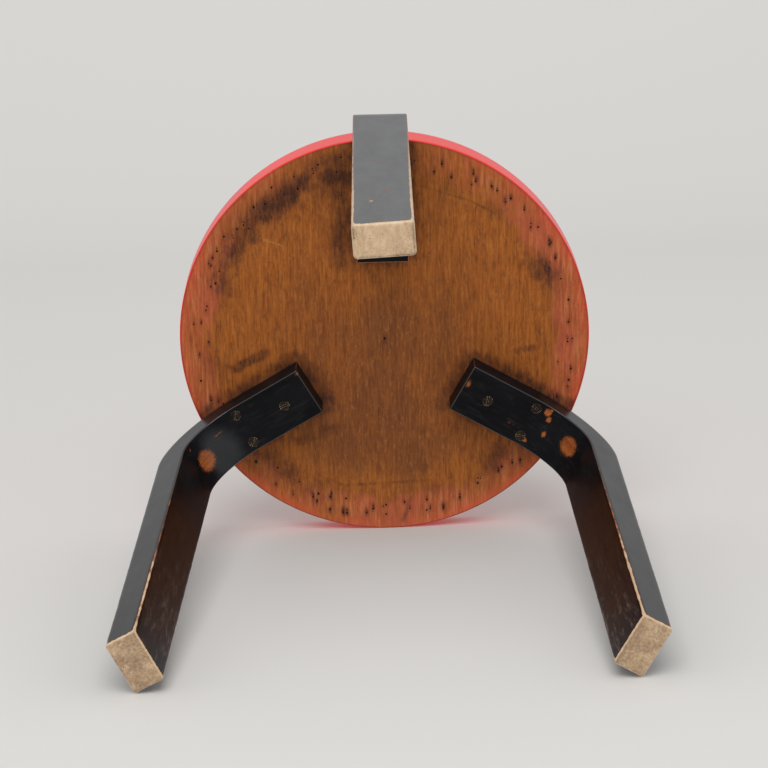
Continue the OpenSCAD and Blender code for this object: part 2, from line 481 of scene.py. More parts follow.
def black_leg_material():
    """Satin black paint, brown inside the legs and worn to the wood, greyed by painted sheen."""
    n = Nodes("worn_black_paint", Specular_Tint=(0.95, 0.98, 1.0, 1.0))
    fibre = n.attribute("fibre", "Vector")
    grain, ring, chip, patchy, scuff = n.noises(
        fibre, ((1, 1, 0.05), 700, 3, 0.6), ((1, 0.4, 0.03), 300, 3, 0.6),
        ((1, 1, 0.3), 420, 4, 0.62), ((1, 1, 0.5), 60, 4, 0.6), ((1, 1, 0.2), 260, 5, 0.75))
    flake = n.noise(fibre, 420, 4, 0.7)
    pore = n.noise(fibre, 900, 2)

    paint = n.ramp(patchy, (0.3, (12, 12, 14)), (0.7, (22, 22, 25)))
    brown = n.ramp(grain, (0.3, (20, 11, 7)), (0.7, (45, 25, 15)))
    faded = n.math("MULTIPLY", n.attribute("inside"), n.span(patchy, 0.6, 1.3), clamp=True)
    paint = n.tint(paint, brown, faded, 0.1, 0.9)
    # Painted sheen: the paint turns grey where it is glossiest, on outer faces, arrises and a
    # polished spot.
    paint = n.tint(paint, (48, 48, 50), n.attribute("satin"), 0.6, 0.8, 0.85)
    paint = n.tint(paint, (104, 92, 84), scuff, 0.5, 0.74, n.attribute("scuffed"))

    reach = n.math("MULTIPLY", n.attribute("rub"), n.span(chip, -0.1, 1.7))
    spare = n.math("SUBTRACT", reach, n.attribute("arris"))
    marked = n.step(n.frayed("bare", flake, 0.75), 0.2, 0.9)
    bare = n.math("MAXIMUM", n.step(spare, 0.0, 0.12), marked)

    pale = n.ramp(ring, (0.3, (186, 155, 120)), (0.55, (204, 174, 139)), (0.8, (217, 191, 159)))
    warm = n.ramp(ring, (0.3, (126, 62, 28)), (0.7, (170, 96, 46)))
    deep = n.math("MAXIMUM", n.step(spare, 0.1, 0.35), n.step(n.attribute("bare"), 0.8, 1.1))
    bleached = n.math("MULTIPLY", n.step(n.attribute("down"), 0.1, 0.6), deep)
    wood = n.mix(bleached, warm, pale)
    # Dirt on the wood, with painted shade on the feet of the back and front left legs.
    wood = n.tint(wood, (110, 82, 62), n.frayed("dirt", flake, 0.6), 0.1, 0.9, 0.75)
    specked = n.math("MULTIPLY", n.attribute("foot"), 0.75)
    wood = n.tint(wood, (92, 66, 46), pore, 0.63, 0.71, specked)
    colour = n.mix(bare, paint, wood)

    gloss = n.add("Mix", {0: bare, 2: n.span(patchy, 0.24, 0.4), 3: n.span(grain, 0.5, 0.7)},
                  data_type="FLOAT").outputs[0]
    relief = n.bump(grain, 0.03 * MM, 0.4)
    relief = n.bump(n.math("SUBTRACT", 1.0, bare), 0.1 * MM, 0.8, relief)
    return n.finish(Base_Color=colour, Roughness=gloss, Normal=relief,
                    Specular_IOR_Level=n.attribute("satin"))


def screw_material():
    """Dark steel with old paint on it, rubbed bright along its edges, with painted shade in its
    slot.
    """
    n = Nodes("old_screw_steel", Metallic=1.0)
    blot = n.noise(n.place(), 900, 3, 0.6)
    rust = n.noise(n.place(), 350, 3, 0.6)
    steel = n.ramp(blot, (0.35, (34, 30, 27)), (0.7, (70, 61, 52)))
    steel = n.tint(steel, (60, 37, 25), rust, 0.55, 0.75)
    steel = n.tint(steel, (196, 172, 142), n.frayed("edge", blot, 0.6), 0.62, 0.95, 0.75)
    # Painted shade: the deep part of the slot is painted near black.
    steel = n.mix(n.attribute("sunk"), steel, (14, 12, 11))
    relief = n.bump(blot, 0.06 * MM, 0.7)
    return n.finish(Base_Color=steel, Roughness=n.span(blot, 0.3, 0.6), Normal=relief)


def birch_material():
    """Plain birch with fine pores along the grain."""
    n = Nodes("birch_core", Specular_IOR_Level=0.3)
    ring, pore = n.noises(n.place(GRAIN + 90), ((0.06, 1, 1), 120, 4, 0.6),
                          ((0.04, 1, 1), 1400, 2))
    wood = n.ramp(ring, (0.3, (190, 154, 106)), (0.5, (212, 178, 130)), (0.75, (226, 198, 154)))
    wood = n.tint(wood, (140, 104, 66), pore, 0.58, 0.7, 0.4)
    relief = n.bump(pore, 0.05 * MM, 0.5)
    return n.finish(Base_Color=wood, Roughness=n.span(ring, 0.5, 0.65), Normal=relief)


def studio_paper_material(name, colour):
    """Pale paper that is seen from its front only."""
    material = bpy.data.materials.new(name)
    material.use_nodes = True
    nodes, links = material.node_tree.nodes, material.node_tree.links
    nodes.clear()
    kinds = ("NewGeometry", "BsdfDiffuse", "BsdfTransparent", "MixShader", "OutputMaterial")
    facing, front, back, choose, result = (nodes.new("ShaderNode" + kind) for kind in kinds)
    front.inputs["Color"].default_value = colour
    sources = (facing.outputs["Backfacing"], front.outputs[0], back.outputs[0])
    for source, socket in zip(sources, choose.inputs):
        links.new(source, socket)
    links.new(choose.outputs[0], result.inputs["Surface"])
    return material


def dress(obj, material, slot, *nodes):
    """Gives a piece its material, attaches it to the root and hides its CAD nodes. The slot is not
    used.
    """
    obj.data.materials.clear()
    obj.data.materials.append(material)
    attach(obj, "root")
    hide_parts(*nodes)


# ---- Screws ----

THREAD_PITCH = 1.8 * MM
THREAD_DEPTH = 0.45 * MM
SHANK_R = 2.3 * MM
CONE_H = 2.6 * MM
PLAIN_L = 16 * MM
POINT_L = 5 * MM
SLOT_W = 1.1 * MM
SLOT_DEPTH = 1.2 * MM
DOME_H = 0.15 * MM
HOLE_GAP = 0.15 * MM
SCREW_SIDES = 32


def screw_place(leg, which):
    """Middle of a screw's head."""
    low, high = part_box(f"screw_{leg.name}_{which}")
    return np.array([(low.x + high.x) / 2, (low.y + high.y) / 2, low.z])


def screw_radius(height, turn):
    """Radius of a screw at a height above its head, with its thread."""
    if height < CONE_H:
        return HEAD_R + (SHANK_R - HEAD_R) * height / CONE_H
    core = SHANK_R * min(1.0, (SCREW_L - height) / POINT_L + 0.08)
    if height < PLAIN_L:
        return core
    phase = ((height - PLAIN_L) / THREAD_PITCH - turn / (2 * math.pi)) % 1.0
    started = min(1.0, (height - PLAIN_L) / THREAD_PITCH)
    groove = THREAD_DEPTH * min(1.0, abs(phase - 0.5) * 3.2) * started
    return max(core - groove, 0.15 * MM)


def screw_mesh(name):
    """A wood screw that points up from the origin, before its slot is cut."""
    heights = [0.1 * MM, 0.5 * MM, 1.2 * MM, 1.9 * MM, CONE_H, 6 * MM, 11 * MM]
    heights += [*np.arange(PLAIN_L, SCREW_L, 0.3 * MM), SCREW_L]
    turns = [2 * math.pi * j / SCREW_SIDES for j in range(SCREW_SIDES)]
    points = []
    for share in (0.3, 0.6, 0.85, 0.96):
        points += circle(share * HEAD_R, DOME_H * share ** 6, SCREW_SIDES)
    for height in heights:
        for t in turns:
            r = screw_radius(height, t)
            points.append((r * math.cos(t), r * math.sin(t), height))
    rings = len(points) // SCREW_SIDES
    faces = grid_faces(rings, SCREW_SIDES) + end_faces(rings, SCREW_SIDES)
    return make_object(name, points, faces)


def slot_cutter(angle):
    """A bar that cuts the slot of a screw at the origin."""
    along = direction(angle)[:2] * 1.3 * HEAD_R
    side = direction(angle + 90)[:2] * SLOT_W / 2
    points = [(*(a * along + b * side), z) for z in (-1 * MM, SLOT_DEPTH)
              for a, b in CORNERS]
    return make_object("slot_cutter", points, end_faces(2, 4) + ring_faces(0, 4, 4))


def build_screw(leg, which, material):
    """One screw in its place, its slot turned as it was left."""
    name = f"screw_{leg.name}_{which}"
    obj = screw_mesh(f"slotted_{name}")
    angle = leg.slots[which]
    cut(obj, slot_cutter(angle), 35)
    points = mesh_points(obj)
    across = np.abs(points @ direction(angle + 90))
    radius = from_axis(points)
    at_face = points[:, 2] < 0.4 * MM
    edge = bump_at(across, SLOT_W / 2, 0.35 * MM) + 0.8 * bump_at(radius, HEAD_R, 0.5 * MM)
    # Painted shade deep in the slot.
    sunk = rise(points[:, 2], 0.4 * MM, 0.9 * MM) * (across < SLOT_W * 0.6) * (radius < HEAD_R)
    set_attributes(obj, edge=edge * at_face, sunk=sunk)
    move_points(obj, points + screw_place(leg, which))
    dress(obj, material, "screw_steel", name)


def hole_cutter(legs):
    """Solids a little wider than the screws, that cut their holes."""
    joined = bmesh.new()
    head, shank = HEAD_R + HOLE_GAP, SHANK_R + HOLE_GAP
    profile = [(head, -3 * MM), (head, HOLE_GAP), (shank, CONE_H + HOLE_GAP), (shank, SCREW_L)]
    for leg in legs:
        for which in SCREWS:
            one = lathe("hole", profile, SCREW_SIDES)
            move_points(one, mesh_points(one) + screw_place(leg, which))
            joined.from_mesh(one.data)
            bpy.data.objects.remove(one)
    mesh = bpy.data.meshes.new("holes")
    joined.to_mesh(mesh)
    joined.free()
    return link_object("holes", mesh)


# ---- Legs ----

ARC_STEPS = 5
FACE_STEPS = 26
SIDE_STEPS = 15
RING_GAP = 1.6 * MM
END_ROUND = 0.9 * MM
FOOT_ROUND = 2.2 * MM
ARM_CORNER = 0.9 * MM
FOOT_CORNER = 3.0 * MM
CAP_SHARES = (0.93, 0.8, 0.65, 0.48, 0.3, 0.13)


def bend_end(leg):
    """Where the bend ends, along the leg's outer face."""
    return ARM_L + BEND_R * math.radians(90 - leg.lean)


def shank_length(leg):
    """Length of the straight part down to the floor, along the leg's outer face."""
    lean = math.radians(leg.lean)
    return (BEND_Z + BEND_R * math.sin(lean)) / math.cos(lean)


def leg_length(leg):
    """Length of a whole leg along its outer face."""
    return bend_end(leg) + shank_length(leg)


def shank_share(leg, along):
    """How far down the straight part each place along a leg is, from 0 to 1."""
    return np.clip((along - bend_end(leg)) / shank_length(leg), 0, 1)


def leg_point(leg, along, across, depth):
    """Points in a leg's frame, from places along and across it and below its outer face."""
    lean = math.radians(leg.lean)
    turn = math.pi / 2 - (np.clip(along, ARM_L, bend_end(leg)) - ARM_L) / BEND_R
    share = shank_share(leg, along)
    depth = depth * (1 - share * (LEG_T - FOOT_T) / LEG_T)
    radius = BEND_R - depth
    run = share * (BEND_Z + radius * math.sin(lean)) / math.cos(lean)
    out = BEND_X + radius * np.cos(turn) + run * math.sin(lean) - np.clip(ARM_L - along, 0, ARM_L)
    up = BEND_Z + radius * np.sin(turn) - run * math.cos(lean)
    return np.stack([out, across, up], -1)


def leg_lengths(leg, points):
    """How far along a leg and below its outer face points of its frame are."""
    lean = math.radians(leg.lean)
    out, up = points[:, 0] - BEND_X, points[:, 2] - BEND_Z
    turn = np.arctan2(up, out)
    on_arm = (out <= 0) & (up > 0)
    on_bend = ~on_arm & (turn > lean)
    run = out * math.sin(lean) - up * math.cos(lean)
    reach = out * math.cos(lean) + up * math.sin(lean)
    full = (BEND_Z + reach * math.sin(lean)) / math.cos(lean)
    along = bend_end(leg) + run / full * shank_length(leg)
    along = np.where(on_bend, ARM_L + (math.pi / 2 - turn) * BEND_R, along)
    along = np.where(on_arm, ARM_L + out, along)
    depth = np.where(on_bend, BEND_R - np.hypot(out, up), BEND_R - reach)
    depth = np.where(on_arm, BEND_R - up, depth)
    return along, depth


def twisted(leg, along, across, depth, way=1):
    """Places across and below after a leg's slow twist, or before it with way -1."""
    turn = way * math.radians(leg.twist) * shank_share(leg, along)
    level = depth - LEG_T / 2
    return (across * np.cos(turn) + level * np.sin(turn),
            LEG_T / 2 + level * np.cos(turn) - across * np.sin(turn))


def leg_stations(leg):
    """Places of the rings along a leg, closer at its rounded ends."""
    total = leg_length(leg)
    quarter = np.linspace(0, math.pi / 2, 5)
    start = END_ROUND * (1 - np.cos(quarter))
    end = total - FOOT_ROUND * (1 - np.cos(quarter[::-1]))
    count = int((total - END_ROUND - FOOT_ROUND) / RING_GAP)
    middle = np.linspace(start[-1], end[0], count)[1:-1]
    return np.concatenate([start, middle, end])


def leg_section(corner, inset):
    """Rounded rectangle at each ring and its outward normals, from four corner radii and how
    far the ring is drawn in."""
    half_w = LEG_W / 2 - inset
    half_t = LEG_T / 2 - inset
    arcs, arc_normals = [], []
    for c, (side, level) in enumerate(CORNERS):
        r = np.maximum(corner[:, c] - inset * 0.6, 0.3 * MM)
        turns = np.radians(180 + 90 * c + np.linspace(0, 90, ARC_STEPS + 1))
        wave = np.stack([np.cos(turns), np.sin(turns)], -1)
        middle = np.stack([side * (half_w - r), level * (half_t - r)], -1)
        arcs.append(middle[:, None] + r[:, None, None] * wave)
        arc_normals.append(np.broadcast_to(wave, arcs[-1].shape))
    points, normals = [], []
    for c in range(4):
        steps = FACE_STEPS if c % 2 == 0 else SIDE_STEPS
        share = (np.arange(1, steps) / steps)[None, :, None]
        first, last = arcs[c][:, -1:], arcs[(c + 1) % 4][:, :1]
        points += [arcs[c], first + (last - first) * share]
        flat = np.broadcast_to(arc_normals[c][:, -1:], points[-1].shape)
        normals += [arc_normals[c], flat]
    return np.concatenate(points, 1), np.concatenate(normals, 1)


def end_inset(along, total):
    """How far each ring is drawn in where the ends are rounded."""
    start = np.clip(END_ROUND - along, 0, END_ROUND)
    end = np.clip(FOOT_ROUND - (total - along), 0, FOOT_ROUND)
    at_start = END_ROUND - np.sqrt(np.maximum(END_ROUND ** 2 - start ** 2, 0))
    at_end = FOOT_ROUND - np.sqrt(np.maximum(FOOT_ROUND ** 2 - end ** 2, 0))
    return at_start + at_end


def leg_rounding(leg, along):
    """Mean radius of the long arrises: sharp at the arm, worn round at the foot."""
    return ARM_CORNER + (FOOT_CORNER - ARM_CORNER) * rise(along, ARM_L, leg_length(leg))


def leg_corners(leg, along):
    """Uneven radius of each long arris at each ring."""
    radii = []
    for c in range(4):
        line = np.stack([along, np.full(len(along), c * 1.0), np.full(len(along), leg.angle)], 1)
        uneven = rough_noise(line, (9 * MM, 1, 1), 40 + c)
        radii.append(leg_rounding(leg, along) * (1 + 0.15 * uneven))
    return np.stack(radii, 1)


def leg_mesh(leg):
    """A leg as a swept section with uneven arrises."""
    along = leg_stations(leg)
    section, normals = leg_section(leg_corners(leg, along), end_inset(along, leg_length(leg)))
    rings, around = section.shape[:2]
    spread = np.repeat(along, around)
    flat, outward = section.reshape(-1, 2), normals.reshape(-1, 2)
    line = np.stack([flat[:, 0], flat[:, 1], spread + leg.angle], 1)
    dent = hollows(line, (20 * MM, 20 * MM, 60 * MM), 7, 0.03 * MM)
    inside = (spread > 4 * MM) & (spread < leg_length(leg) - 4 * MM)
    flat = flat - outward * (dent * inside)[:, None]
    across, depth = twisted(leg, spread, flat[:, 0], LEG_T / 2 + flat[:, 1])
    points = leg_point(leg, spread, across, depth)
    points, faces = capped(points, grid_faces(rings, around), around)
    return make_object(f"{leg.name}_leg", from_leg_frame(points, leg.angle), faces)


def capped(points, faces, around):
    """Closes both ends of a tube with smaller rings and a middle point."""
    for first in (0, len(points) - around):
        ring = points[first:first + around]
        middle = ring.mean(0)
        last = first
        for share in CAP_SHARES:
            faces += ring_faces(last, len(points), around)
            last = len(points)
            points = np.concatenate([points, middle + (ring - middle) * share])
        faces += [(last + j, last + (j + 1) % around, len(points)) for j in range(around)]
        points = np.concatenate([points, middle[None]])
    return points, faces


def mark_reach(mark, along, across):
    """How strong one mark is at each place on a leg."""
    far = np.hypot((along / MM - mark.along) / mark.long, (across / MM - mark.across) / mark.wide)
    return mark.strength * rise(far, 1.5, 0.6)


def mark_strength(leg, along, across, depth):
    """How bare the wood is where a leg's own marks are."""
    faces = {"outer": depth < 3 * MM, "inner": depth > LEG_T - 4 * MM}
    return np.maximum.reduce([mark_reach(mark, along, across) * faces[mark.face]
                              for mark in leg.marks if mark.face in faces])


def paint_leg(leg, obj):
    """Stores on a leg where its paint is worn, faded, dull, dirty or painted with sheen or shade."""
    points = to_leg_frame(mesh_points(obj), leg.angle)
    along, depth = leg_lengths(leg, points)
    across, up = points[:, 1], points[:, 2]
    across, depth = twisted(leg, along, across, depth, -1)
    down = shank_share(leg, along)
    thick = LEG_T - (LEG_T - FOOT_T) * down
    from_side = np.maximum(LEG_W / 2 - np.abs(across), 0)
    from_face = np.maximum(np.minimum(depth, thick - depth), 0)
    nearest = np.minimum(from_side, from_face)
    from_end = np.maximum(np.minimum(along, up), 0)
    rounding = leg_rounding(leg, along)
    at_arris = np.hypot(from_side, from_face) - 0.41 * rounding
    at_end = np.hypot(nearest, from_end) - 0.41 * np.where(up < 9 * MM, FOOT_ROUND, END_ROUND)
    arris = np.maximum(np.minimum(at_arris, at_end), 0)

    line = np.stack([across, depth, along + leg.angle], 1)
    uneven = rough_noise(line, (30 * MM, 30 * MM, 45 * MM), 11)
    rub = 0.06 + 0.22 * rise(down, 0.1, 0.5) + 0.4 * rise(down, 0.5, 0.9)
    rub = (rub + leg.rubbed) * (1 + 0.8 * uneven) + 1.0 * rise(up, 16 * MM, 0)
    foot = rise(up, 1.8 * MM, 0.5 * MM) * rise(nearest, 0.2 * MM, 1.4 * MM)
    bare = np.maximum(mark_strength(leg, along, across, depth), 1.3 * foot)
    inner_face = rise(depth, thick - 3 * MM, thick - 0.5 * MM)
    outer_face = rise(depth, 3 * MM, 0.5 * MM)
    inside = inner_face * rise(down, 0.0, 0.45) * (1 - 0.75 * rise(down, 0.8, 1.0))
    on_arm = rise(along, ARM_L + 30 * MM, ARM_L)
    # How glossy the paint is. The material also greys the paint by this value, a painted sheen
    # strongest on the outer faces.
    satin = 0.3 + 0.52 * outer_face - 0.24 * inner_face - 0.26 * on_arm * (1 - inner_face)
    # Painted highlight: thin grey lines along the rounded arrises.
    satin += 0.8 * rise(arris, 0.4 * MM, 0.1 * MM)
    # A polished spot is glossier, and the material greys it as painted sheen.
    for mark in leg.marks:
        if mark.face == "polish":
            satin += mark_reach(mark, along, across) * inner_face
    blots = rough_noise(line, (7 * MM, 7 * MM, 9 * MM), 21)
    rim_dirt = rise(nearest, 2.6 * MM, 0.8 * MM) * np.clip(0.3 + uneven + 0.6 * blots, 0, 1)
    # The foot value adds both dirt and painted shade to the feet.
    dirt = 0.1 + 0.4 * leg.soil * foot + 0.25 * uneven + (0.65 * rim_dirt + 0.22 * blots) * foot
    scuffed = 0.65 * inner_face * rise(down, 0.35, 0.95) + 0.1
    scuffed += 0.4 * outer_face * rise(down, 0.4, 1.0)
    set_attributes(obj, arris=arris / MM, rub=rub, bare=bare, inside=inside, down=down,
                   dirt=dirt, satin=satin, foot=foot, scuffed=scuffed, fibre=line)


def build_leg(leg, material):
    """One painted leg with its screw holes."""
    obj = leg_mesh(leg)
    cut(obj, hole_cutter([leg]))
    paint_leg(leg, obj)
    kerf_veneers = [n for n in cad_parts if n.startswith(f"bend_veneer_{leg.name}_")]
    dress(obj, material, "leg_black", f"leg_{leg.name}", *kerf_veneers)


# ---- Seat ----

RIM_POINTS = 360
Pit = namedtuple("Pit", "x y radius depth")


def hex_points(radius, gap):
    """Evenly spread points inside a circle."""
    row_gap = gap * math.sqrt(3) / 2
    rows = int(radius / row_gap) + 1
    grid = np.array([(j * gap + i % 2 * gap / 2, i * row_gap)
                     for i in range(-rows, rows + 1) for j in range(-rows - 1, rows + 2)])
    return grid[from_axis(grid) < radius]


def from_pit(flat, p):
    """Distance of each place from the middle of a pit."""
    return np.hypot(flat[:, 0] - p.x, flat[:, 1] - p.y)


def pit_points(pits):
    """Rings of points that shape the pits."""
    rings = [
        (p.x + share * p.radius * math.cos(t), p.y + share * p.radius * math.sin(t))
        for p in pits for share in (0.35, 0.75, 0.98, 1.25)
        for t in np.arange(9) * 2 * math.pi / 9
    ]
    return np.array(rings + [(p.x, p.y) for p in pits])


def disc_mesh(name, gap, face_z, back_z, height, pits=()):
    """A disc whose face follows height(places), with a rounded corner and a flat back."""
    face_r = SEAT_R - SEAT_CORNER
    flat = hex_points(face_r - gap * 0.6, gap)
    if pits:
        for p in pits:
            flat = flat[from_pit(flat, p) > 1.6 * p.radius]
        flat = np.concatenate([flat, pit_points(pits)])
    flat = np.concatenate([np.array(circle(face_r, 0, RIM_POINTS))[:, :2], flat])
    found, _, triangles, *_ = delaunay_2d_cdt([Vector(p) for p in flat], [], [], 0, 1e-7)
    flat = np.array([tuple(p) for p in found])
    face = lying(flat)
    face[:, 2] = face_z + height(face)
    face[:RIM_POINTS, 2] = face_z
    inward = math.copysign(1.0, back_z - face_z)
    wall = [(r, face_z + inward * drop) for r, drop in
            arc((face_r, SEAT_CORNER), SEAT_CORNER, -90, 0, 5)[1:]]
    wall += [(SEAT_R, back_z - inward * JOINT_BEVEL), (SEAT_R - JOINT_BEVEL, back_z)]
    rings = [circle(r, z, RIM_POINTS) for r, z in wall]
    points = np.concatenate([face, *rings])
    faces = [tuple(t) for t in triangles]
    loops = [0] + [len(face) + k * RIM_POINTS for k in range(len(rings))]
    for low, high in zip(loops, loops[1:]):
        faces += ring_faces(low, high, RIM_POINTS)
    faces.append(tuple(range(loops[-1], loops[-1] + RIM_POINTS)))
    return make_object(name, points, faces)


def grain_frame(points):
    """Places on the seat across the veneer's grain and along it."""
    return np.stack([points[:, :2] @ direction(GRAIN + 90)[:2],
                     points[:, :2] @ direction(GRAIN)[:2]], 1)


def clock(points):
    """Angle of each point round the seat, in degrees from the grain."""
    places = grain_frame(points)
    return np.degrees(np.arctan2(places[:, 0], places[:, 1])) % 360


def tack_pits():
    """A pin hole in the middle, and an old cover's tack holes in two rows near the rim."""
    random = np.random.default_rng(17)
    pits = [Pit(0, 0, 0.9 * MM, 1.0 * MM)]
    angle = 0.0
    while angle < 360:
        group = random.integers(1, 4)
        for _ in range(group):
            inner = random.random() < 0.4
            r = random.uniform(150, 157) if inner else random.uniform(157.5, 164.5)
            turn = math.radians(angle + random.uniform(-1.6, 1.6))
            size = random.uniform(0.55, 0.95) * MM
            pits.append(Pit(r * MM * math.cos(turn), r * MM * math.sin(turn), size,
                            random.uniform(0.7, 1.1) * MM))
            if random.random() < 0.35:
                along = direction(GRAIN) * random.uniform(1.6, 2.6) * MM
                pits.append(Pit(pits[-1].x + along[0], pits[-1].y + along[1], size * 0.6, 0.5 * MM))
        angle += random.uniform(4, 8)
    return kept_apart(pits)


def kept_apart(pits):
    """Leaves out pits that would run into one kept before."""
    kept = []
    for p in pits:
        if all(math.hypot(p.x - q.x, p.y - q.y) > 1.35 * (p.radius + q.radius) for q in kept):
            kept.append(p)
    return kept


def pit_depth(flat, pits):
    """How deep the pits are at each place, and how strongly painted shade darkens them."""
    depth, dark = np.zeros(len(flat)), np.zeros(len(flat))
    for p in pits:
        far = from_pit(flat, p) / p.radius
        depth = np.maximum(depth, p.depth * rise(far, 1.02, 0.72))
        dark = np.maximum(dark, rise(far, 1.3, 0.8))
    return depth, dark


def pit_stains(places, pits):
    """How stained each place is round a pit, furthest along the grain."""
    total = np.zeros(len(places))
    for p in pits:
        away = places - grain_frame(np.array([[p.x, p.y]]))
        far = np.hypot(away[:, 0], away[:, 1] / 2.4)
        total = np.maximum(total, bump_at(far, 0, 1.9 * MM))
    return total


def leg_distance(points):
    """Distance on the seat from each point to the nearest arm."""
    nearest = np.full(len(points), 1.0)
    for leg in LEGS:
        local = to_leg_frame(points, leg.angle)
        out = np.maximum(ARM_INNER - local[:, 0], 0)
        nearest = np.minimum(nearest, np.hypot(out, np.maximum(np.abs(local[:, 1]) - LEG_W / 2, 0)))
    return nearest


# Dark stains round the seat's hem line: (clock angle, half width in degrees, strength)
HEM_STAINS = ((304, 9, 1.1), (320, 9, 1.2), (335, 10, 1.2), (350, 8, 1.0), (290, 7, 0.7),
              (12, 7, 0.5), (42, 6, 0.6), (68, 9, 1.0), (90, 8, 0.5), (140, 14, 0.8),
              (165, 10, 0.3), (208, 12, 0.7), (227, 12, 0.8), (262, 8, 0.5))
# Smears and lines in (across, along) millimetres: start, end, half width, strength
SMEARS = (((-128, -24), (-103, -11), 4.5, 0.75), ((112, -14), (129, -11), 3, 0.6),
          ((-75, -92), (-43, -81), 5, 0.55), ((-35, 70), (-32, 150), 9, 0.75),
          ((30, 95), (28, 135), 5, 0.4), ((28, 135), (74, 120), 1.0, 0.6),
          ((74, 120), (96, 108), 1.0, 0.7), ((-63, -123), (-37, -134), 1.5, 0.5),
          ((-37, -134), (37, -131), 1.5, 0.55), ((-143, 20), (-143, -50), 1.0, 0.55),
          ((31, -82), (32, -84), 4, 0.6), ((31, -119), (32, -121), 4, 0.6),
          ((13, -168), (20, -147), 2, 0.7), ((-70, -18), (-55, -35), 6, 0.6))
SCRATCHES = (((-106, 92), (-84, 84), 0.7, 0.8), ((-106, 92), (-98, 104), 0.7, 0.7),
             ((-139, 40), (-140, -50), 0.8, 0.5))
# Where the rim's red stain is weak: (clock angle, half width in degrees, how much is missing)
STAIN_GAPS = ((352, 12, 0.8), (12, 18, 0.5), (40, 12, 0.2), (212, 12, 0.4),
              (135, 14, 0.4), (232, 12, 0.5))


def round_the_clock(angles, bumps):
    """Sum of bell curves round the seat."""
    total = np.zeros(len(angles))
    for middle, width, strength in bumps:
        away = (angles - middle + 180) % 360 - 180
        total += strength * bump_at(away, 0, width)
    return total


def strokes(places, lines):
    """How strongly each point lies on one of the lines."""
    return np.maximum.reduce([
        strength * rise(segment_distance(places / MM, start, end), 1.8 * width, 0.4 * width)
        for start, end, width, strength in lines])


def paint_underside(obj, pits):
    """Stores on the underside where it is stained, dirty, pale or pierced, and where shade is
    painted.
    """
    points = mesh_points(obj)
    flat = points * np.array([1.0, 1.0, 0.0])
    places, angles = grain_frame(flat), clock(flat)
    radius = from_axis(flat) / MM
    cloud = rough_noise(lying(places), (26 * MM, 40 * MM, 1), 3)
    patch = rough_noise(lying(places), (11 * MM, 18 * MM, 1), 5)

    missing = round_the_clock(angles, STAIN_GAPS)
    edge = radius + 5 * cloud + 3 * patch
    red = rise(edge, 138, 156) * np.clip(1.0 - missing, 0, 1) * (0.75 + 0.4 * cloud)
    low_side = 0.35 + 0.4 * np.abs(np.sin(np.radians(angles))) + 0.25 * rise(places[:, 1], 0, -0.15)
    bleed = rise(radius + 3 * patch, 158, 175) * low_side * (1 + 0.4 * cloud)
    hem = bump_at(edge, 149, 14) * np.clip(round_the_clock(angles, HEM_STAINS), 0, 1.3) * 0.78
    sector = round_the_clock(angles, ((348, 16, 1.0), (316, 14, 0.5), (135, 9, 0.5), (228, 10, 0.5)))
    wide = rise(radius, 112, 146) * rise(radius, 180, 162) * np.clip(sector, 0, 1) * 0.8
    beside = leg_distance(flat) / MM
    # Darker along each arm where it meets the seat: part grimy wear, part painted shade.
    arm_grime_and_shade = 0.85 * rise(beside + 6 * cloud + 3 * patch, 17, 2)
    stains = 0.12 * rise(cloud, 0.1, 0.8)
    grime = np.maximum.reduce([hem * (1 + 0.5 * patch), wide, arm_grime_and_shade * (1 + 0.5 * patch),
                               strokes(places, SMEARS) * (0.9 + 0.4 * patch), stains])
    # Painted shade in and just round the pits.
    _, dark = pit_depth(flat, pits)
    ring_pits = pit_stains(places, pits)
    grime = np.maximum(grime, 0.72 * ring_pits * (1 + patch))
    pale = np.maximum(strokes(places, SCRATCHES),
                      0.4 * rise(patch, 0.2, 0.9) * rise(edge, 136, 148))
    middle = bump_at(places[:, 0], 0, 70 * MM) * rise(places[:, 1], 0.09, 0.0)
    brown = 0.1 + 0.7 * middle * (1 - 0.8 * rise(places[:, 1], -0.11, -0.135))
    low = rise(places[:, 1], -0.08, -0.15)
    coat = rise(radius - 0.6 * low, 174.1, 174.6)
    line = (0.7 + 0.3 * low) * bump_at(radius, 174.1 + 0.3 * low, 0.35)
    pale += 0.35 * bump_at(radius, 147, 8) * round_the_clock(angles, ((186, 22, 1.0), (28, 14, 0.5)))
    set_attributes(obj, red=red, bleed=bleed, grime=grime, hole=dark, pale=pale, brown=brown,
                   coat=coat, line=line)


def build_underside(material):
    """The varnished veneer under the seat, with its tack holes."""
    pits = tack_pits()

    def height(flat):
        depth, _ = pit_depth(flat, pits)
        return depth + hollows(flat, 30 * MM, 9, 0.05 * MM)

    obj = disc_mesh("seat_underside", 1.5 * MM, UNDERSIDE, UNDERSIDE + VENEER_T, height, pits)
    cut(obj, hole_cutter(LEGS))
    paint_underside(obj, pits)
    dress(obj, material, "underside_veneer", "seat_underside_veneer")


def build_seat_top(material):
    """The painted top of the seat, with the faint hollows of long use."""
    def height(flat):
        return -hollows(flat, 45 * MM, 31, 0.07 * MM)

    obj = disc_mesh("seat_top", 3.0 * MM, SEAT_TOP, SEAT_TOP - VENEER_T, height)
    points = mesh_points(obj)
    radius = from_axis(points)
    at_corner = bump_at(np.hypot(SEAT_R - radius, SEAT_TOP - points[:, 2]), 0.5 * MM, 0.8 * MM)
    set_attributes(obj, rubbed=0.6 * at_corner, aged=rise(radius, SEAT_R, SEAT_R - 80 * MM))
    dress(obj, material, "seat_red", "seat_top_veneer")


